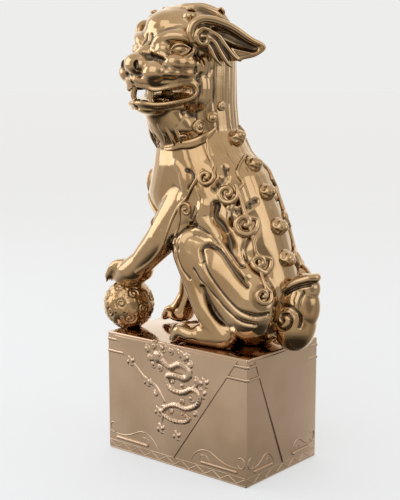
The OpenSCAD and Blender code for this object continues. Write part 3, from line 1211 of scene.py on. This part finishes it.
# Ropes of clay on the left of the face: brow, lids, cheekbone, lips, jaw and chin
FACE_ROPES = (
    ([(57, 19, -6), (54, 24, -7), (53, 25, -12), (56, 20, -13)], [1.8, 2.2, 2.2, 1.6]),
    ([(24, 16, 38), (10, 24, 37), (-6, 29, 32), (-22, 31, 24)], [1.5, 4, 4.4, 2]),
    ([(16, 6, 40.5), (-4, 13, 39), (-20, 18, 33), (-32, 20, 24)], [1.5, 4, 4.4, 2]),
    ([(6, 36, 26), (-10, 38, 20), (-26, 34, 10)], [1.5, 4, 2]),
    ([(52, 7, -2), (51, 16, 4.5), (45, 27, 8), (37, 36, 7), (29, 42.5, 0)], [5, 6.8, 7.4, 6.5, 3.5]),
    ([(56, 10, -4), (56, 16, -7), (53, 20, -10)], [3.2, 3.6, 2.6]),
    ([(56, 22, -9), (48, 32, -13.5), (38, 39.5, -12.5), (29, 43.5, -5)], [2.6, 3, 3, 2]),
    ([(72, 3, -33), (69, 14, -35), (61, 25, -36.5), (46, 35, -34.5), (33, 40, -33), (24, 41.5, -38)],
     [3.2, 3.2, 2.6, 2.2, 2, 1.4]),
    ([(70, 3, -38.5), (68, 14, -40), (62, 22, -43.5), (46, 35.5, -39.5), (32, 40.5, -37.5), (26, 42, -44),
      (31, 40.5, -51), (46, 35.5, -55), (60, 24, -57.5), (67, 12, -56.5), (69, 3, -56)],
     [2.4, 2.8, 2.4, 2.0, 2.0, 2.0, 2.2, 2.6, 2.8, 3.0, 3.0]),
    ([(66, 4, -63), (62, 14, -63), (52, 26, -62), (38, 35, -60)], [3.2, 3.2, 2.8, 1.6]),
)
# Broad forms of the face: points, half-width, height
FACE_FORMS = (
    ([(66, 7, -8), (60, 13, -13), (54, 22, -21)], 4.5, -2.8),
    ([(25, 44, -8), (26, 45, -18), (27, 44, -26)], 4.5, -2.2),
    ([(53, 4, 10), (56, 5, 2)], 3.2, -1.6),
)
EAR_DISH = (
    (-2, 3, 0, 10, 12, 6), (10, 0, 0, 14, 16, 6), (24, -5, 0, 15, 18, 6), (38, -9, 0, 14, 13, 5.5),
    (50, -9.5, 0.5, 11, 9, 5), (60, -8.5, 1, 8, 4.5, 3.5))
EAR_HOLLOW = (
    (12, 7, 6.5, 9, 4.5, 6), (24, 3, 6.5, 11, 7, 8), (38, -3.5, 6.5, 11, 7, 8), (52, -9, 6, 7, 4.5, 6))
# Ropes of the ear: points as along, up and out of it, and radii
EAR_ROPES = (
    ([(-9, -3, 4), (-11, 6, 4), (-6, 15, 4), (7, 18, 4), (29, 11.5, 4), (50, -1, 3.5), (64, -7.5, 2.5),
      (55, -15, 3), (40, -19, 3.5)], [3, 4, 4.4, 4.4, 4.2, 3.6, 2.6, 2.4, 1.8]),
    ([(8, 7, 5), (17, 2, 6), (24, -7, 6), (33, -17, 4.5), (40, -21, 3)], [2.4, 2.8, 2.6, 2.4, 1.6]),
    ([(6, 2, 5.5), (13, -4, 6), (19, -13, 5), (27, -24, 4), (32, -27, 3)], [2.2, 2.6, 2.6, 2.2, 1.4]),
    ([(4, -4, 5), (9, -10, 5), (14, -19, 4.5), (21, -26, 3)], [2, 2.4, 2.2, 1.2]),
    ([(8, 8, 5), (0, 9, 6), (-5, 3, 6), (-2, -5, 6), (5, -5, 6), (6, 1, 6.5), (1, 2, 6.5)],
     [2.4, 2.4, 2.4, 2.4, 2.2, 2, 1.8]),
)
CROWN_CURLS = (((25, 30, 30), 6.0), ((-12, 28, 32), 7.0))
BEARD_CURLS = (((30, 24, -88), 6.5), ((18, 34, -80), 8.5), ((5, 40, -71), 7.0), ((-6, 42, -60), 6.0))


# ---------------------------------------------------------------- beard, collar, bell


@dataclass
class Throat:
    """What lies on the throat and chest: the beard, the leaf-shaped collar and the bell on its ribbons."""

    body: Piece

    def build(self) -> None:
        """Model the three pieces and dress them."""
        skin = Skin(self.body)
        gild(self.beard(skin), "beard_curls")
        gild(self.collar(skin), "neck_collar")
        gild(self.bell(skin), "chest_bell")

    def beard(self, skin: Skin) -> Piece:
        """Model the curls under the jaw and the strands of the goatee."""
        made = []
        for side in Side:
            made += bosses(skin, BEARD_CURLS, side)
            made += [strand(points, radii, mirrored(HEAD, side)) for points, radii in GOATEE]
        return fuse(made, "beard", 0.7, smooth=1)

    def collar(self, skin: Skin) -> Piece:
        """Model the band round the throat, a long leaf on each side."""
        leaves = []
        for side in Side:
            line = skin.lay([(x, y * side.value, z + DECK) for x, y, z in COLLAR_LEAF], lift=0.8)
            for drop in (0, 3.2):
                leaves.append(strand([(x, y, z - drop) for x, y, z in line], COLLAR_RADII, steps=1))
        return fuse(leaves, "collar", 0.7, fillet=0.8, smooth=2)

    def bell(self, skin: Skin) -> Piece:
        """Model the flower-shaped bell and its ribbons on the chest."""
        made = [lump((-68, -12, DECK + 158, 7, 10, 15))]
        petal_ring = [Vector((-70, -12 + 8.5 * math.cos(a), DECK + 158 + 13 * math.sin(a)))
                      for a in np.linspace(0, FULL_TURN, 17)]
        made.append(strand(petal_ring, [2.0, 2.0], steps=3))
        made.append(strand([(-74, -12, DECK + 166), (-75, -13, DECK + 150)], [2.2, 1.4]))
        for points, radii in RIBBONS:
            laid = skin.lay([(x, y, z + DECK) for x, y, z in points], lift=0.5)
            made.append(strand(laid, radii, steps=1))
        return fuse(made, "bell", 0.8, smooth=2)


# The leaf of the collar on the left side, as X, Y and height above the deck, and its radii
COLLAR_LEAF = ((-26, -43, 200), (-14, -44, 201), (-4, -43, 203), (6, -40, 204), (14, -33, 208),
               (19, -26, 214), (21, -18, 220))
COLLAR_RADII = (0.6, 2.2, 3.6, 4.2, 4.0, 2.6, 0.7)
GOATEE = (
    ([(50, 3, -66), (46, 6, -76), (40, 8, -88), (38, 6, -96)], [3, 3.4, 3, 1.2]),
    ([(46, 10, -68), (42, 14, -80), (37, 17, -92), (33, 16, -102)], [2.6, 3, 2.6, 1]),
    ([(42, 16, -70), (38, 21, -80), (33, 24, -92), (30, 22, -100)], [2, 2.6, 2.2, 0.9]),
)
RIBBONS = (
    ([(-64, -16, 176), (-60, -12, 188), (-50, -6, 200)], [2.4, 2.2, 1.2]),
    ([(-66, -4, 176), (-58, 4, 190), (-48, 12, 200)], [2.4, 2.2, 1.2]),
    ([(-66, -20, 146), (-56, -32, 136), (-44, -40, 126), (-34, -46, 116)], [2.4, 2.6, 2.2, 1]),
    ([(-67, -10, 142), (-60, -18, 126), (-50, -26, 112)], [2.2, 2.2, 1]),
)


# ---------------------------------------------------------------- ball and tail


@dataclass
class Ball:
    """The brocade ball under the left paw."""

    centre: Point = (-91, -30, 25.2)
    radius: float = 28.0
    flowers: int = 26

    def build(self) -> None:
        """Model the ball with its brocade in relief and dress it."""
        x, y, z = self.centre
        middle = Vector((x, y, z + DECK))
        ball = fuse([lump((*middle, *[self.radius - 0.4] * 3), segments=64)], "ball", 0.6, smooth=2)
        skin = Skin(ball)
        grooves = []
        golden = math.pi * (3 - math.sqrt(5))
        for number in range(self.flowers):
            height = 1 - 2 * (number + 0.5) / self.flowers
            flat = math.sqrt(1 - height * height)
            way = Vector((math.cos(golden * number) * flat, math.sin(golden * number) * flat, height))
            ahead = way.orthogonal().normalized()
            beside = way.cross(ahead)
            wind = 1 if number % 2 else -1
            spiral = [middle + way * self.radius + (ahead * math.cos(step * 0.7) + beside * wind
                      * math.sin(step * 0.7)) * (6.8 - step * 0.42) for step in range(14)]
            grooves.append((spiral, 1.7, -1.0))
            for petal in range(5):
                angle = petal * FULL_TURN / 5
                out = ahead * math.cos(angle) + beside * math.sin(angle)
                grooves.append(([middle + way * self.radius + out * reach for reach in (8.2, 9.6)],
                                2.2, 0.5))
        skin.work(grooves)
        trim(ball, (x - 60, y - 60, DECK - 60), (x + 60, y + 60, DECK))
        gild(ball, "brocade_ball", angle=70)


@dataclass
class Tail:
    """The flame-shaped tail, which winds up in a scroll low on each side."""

    core: tuple[Mass, ...] = ((104, 3, 28, 23, 22, 30), (109, 4, 44, 22, 19, 27), (115, 5, 63, 16, 14, 15))
    scroll_middle: tuple[float, float] = (106, 34)
    scroll_radius: float = 16

    def build(self) -> None:
        """Model the tail's core and rim, work its scrolls and folds, and dress it."""
        clay = [lump((*mass[:2], mass[2] + DECK, *mass[3:])) for mass in self.core]
        for points, radii in TAIL_ROPES:
            for side in Side:
                clay.append(strand([(x, 4 + y * side.value, z + DECK) for x, y, z in points], radii))
        tail = fuse(clay, "tail", 0.9, fillet=1.5, smooth=3)
        skin = Skin(tail)
        lines = []
        for side in Side:
            lines.append((skin.beside(side, self.scroll()), 2.4, -2.8))
            lines += skin.strokes(side, TAIL_LINES)
        skin.work(lines)
        trim(tail, (0, -100, DECK - 60), (200, 100, DECK))
        gild(tail, "tail_scroll", angle=70)

    def scroll(self) -> list[tuple[float, float]]:
        """Points of the spiral groove, seen from the side, from the outside in."""
        spiral = []
        x, z = self.scroll_middle
        steps, turns = 30, 1.8
        for step in range(steps):
            part = step / steps
            angle = math.radians(-25) + part * turns * FULL_TURN
            reach = self.scroll_radius * (1 - part) ** 0.8
            spiral.append((x + reach * math.cos(angle), z + reach * math.sin(angle)))
        return spiral


# Ropes of the tail's hood and rim on the left: X, Y from the middle and height above the deck, and radii
TAIL_ROPES = (
    ([(86, -18, 14), (84, -19, 30), (88, -19, 46), (98, -17, 60), (112, -13, 70), (124, -7, 75)],
     [3.4, 3.4, 3.2, 3.4, 4.2, 4.4]),
    ([(124, -7, 75), (127.5, -2, 75), (128, 0, 75)], [4.4, 4.6, 4.6]),
)
# Folds of the tail, seen from the side: X and height above the deck, half-width, height
TAIL_LINES = (
    (((92, 46), (102, 57), (114, 65), (127, 69)), 2.2, -1.8),
    (((122, 62), (120, 50), (122, 38)), 2.4, -1.2),
    (((114, 60), (113, 54), (114, 50)), 2.2, -0.9),
    (((84, 36), (87, 24), (94, 14)), 2.4, -1.8),
)


# ---------------------------------------------------------------- studio


@dataclass
class Studio:
    """A pale sweep, soft lights and the camera."""

    camera_place: Point = (681.1, -836.2, 394.9)
    camera_turn: Point = (80.775, 0.0, 39.80)
    lens: float = 75.2
    floor_colour: str = "#959ca7"
    floor_glow: float = 0.5
    backdrop: str = "#ededec"
    sky_colour: str = "#f5ebdc"

    def build(self) -> None:
        """Set up the camera first, then the floor, the lights and the sky."""
        camera = link("camera", bpy.data.cameras.new("camera"))
        camera.location = [value * MM for value in self.camera_place]
        camera.rotation_euler = [math.radians(angle) for angle in self.camera_turn]
        camera.data.lens = self.lens
        camera.data.clip_start = 0.01
        bpy.context.scene.camera = camera
        bpy.context.scene.view_settings.view_transform = "Standard"
        self.floor()
        self.sky()
        self.lights()

    def floor(self) -> None:
        """Lay a plain pale floor."""
        pick_none()
        bpy.ops.mesh.primitive_plane_add(size=60)
        floor = bpy.context.object
        floor.name = "floor"
        material = bpy.data.materials.new("pale_floor")
        material.use_nodes = True
        shader = material.node_tree.nodes["Principled BSDF"]
        shader.inputs["Base Color"].default_value = linear(self.floor_colour)
        # A faint glow of its own keeps the sweep even from near to far
        shader.inputs["Emission Color"].default_value = linear("#ffffff")
        shader.inputs["Emission Strength"].default_value = self.floor_glow
        shader.inputs["Roughness"].default_value = 0.9
        floor.data.materials.append(material)
        # Dark surroundings below give the glaze its dark reflections
        floor.visible_glossy = False

    def sky(self) -> None:
        """Set the sky that the glaze mirrors: pale overhead and behind, darker low down and to the right."""
        world = bpy.data.worlds.new("sky")
        bpy.context.scene.world = world
        world.use_nodes = True
        tree = world.node_tree
        tree.nodes.clear()
        way = add_node(tree, "ShaderNodeTexCoord").outputs["Generated"]
        height = add_node(tree, "ShaderNodeSeparateXYZ", links={"Vector": way}).outputs["Z"]
        above = ramp(tree, height, 0.1, 0.75, 0.8, 1.0)
        below = ramp(tree, height, -0.85, -0.35, -0.74, 0.0)
        behind = ramp(tree, towards(tree, way, (-0.63, 0.77, 0.0)), 0.3, 0.95, 0.0, 0.45)
        total = combine(tree, "ADD", combine(tree, "ADD", above, below), behind)
        # Two dark flags: one beside the plinth's far end, one behind the back
        for aim, start, end, dim in (((0.97, -0.22, 0.05), 0.85, 0.97, 0.5),
                                     ((0.63, 0.77, -0.1), 0.75, 0.97, 0.72)):
            flag = ramp(tree, towards(tree, way, aim), start, end, 1.0, dim)
            total = combine(tree, "MULTIPLY", total, flag)
        sky = add_node(tree, "ShaderNodeBackground", {"Color": linear(self.sky_colour)}, {"Strength": total})
        sweep = add_node(tree, "ShaderNodeBackground", {"Color": linear(self.backdrop)})
        rays = add_node(tree, "ShaderNodeLightPath")
        mix = add_node(tree, "ShaderNodeMixShader", links={"Fac": rays.outputs["Is Camera Ray"]})
        tree.links.new(sky.outputs["Background"], mix.inputs[1])
        tree.links.new(sweep.outputs["Background"], mix.inputs[2])
        add_node(tree, "ShaderNodeOutputWorld", links={"Surface": mix.outputs["Shader"]})

    def lights(self) -> None:
        """Hang the square soft lights, which face the statue's middle."""
        for name, place, size, power in SOFTBOXES:
            light = bpy.data.lights.new(name, "AREA")
            light.energy = power
            light.size = size
            lamp = link(name, light)
            lamp.location = place
            aim = Vector((0, 0, 0.25)) - Vector(place)
            lamp.rotation_euler = aim.to_track_quat("-Z", "Y").to_euler()


# Each soft light: its name, its place and side in metres, and its power in watts
SOFTBOXES = (("key", (0.3, -1.7, 1.3), 1.9, 10), ("left", (-1.5, -0.7, 0.8), 1.2, 8),
             ("right", (1.6, 0.5, 0.9), 1.2, 4))


def main() -> None:
    """Build the studio and the statue, piece by piece."""
    logging.basicConfig(level=logging.INFO, format="%(name)s: %(message)s")
    Studio().build()
    Plinth().build()
    body = Body().build()
    Mane(body).build()
    Head().build()
    Throat(body).build()
    Ball().build()
    Tail().build()
    discard(body)


if __name__ == "__main__":
    main()
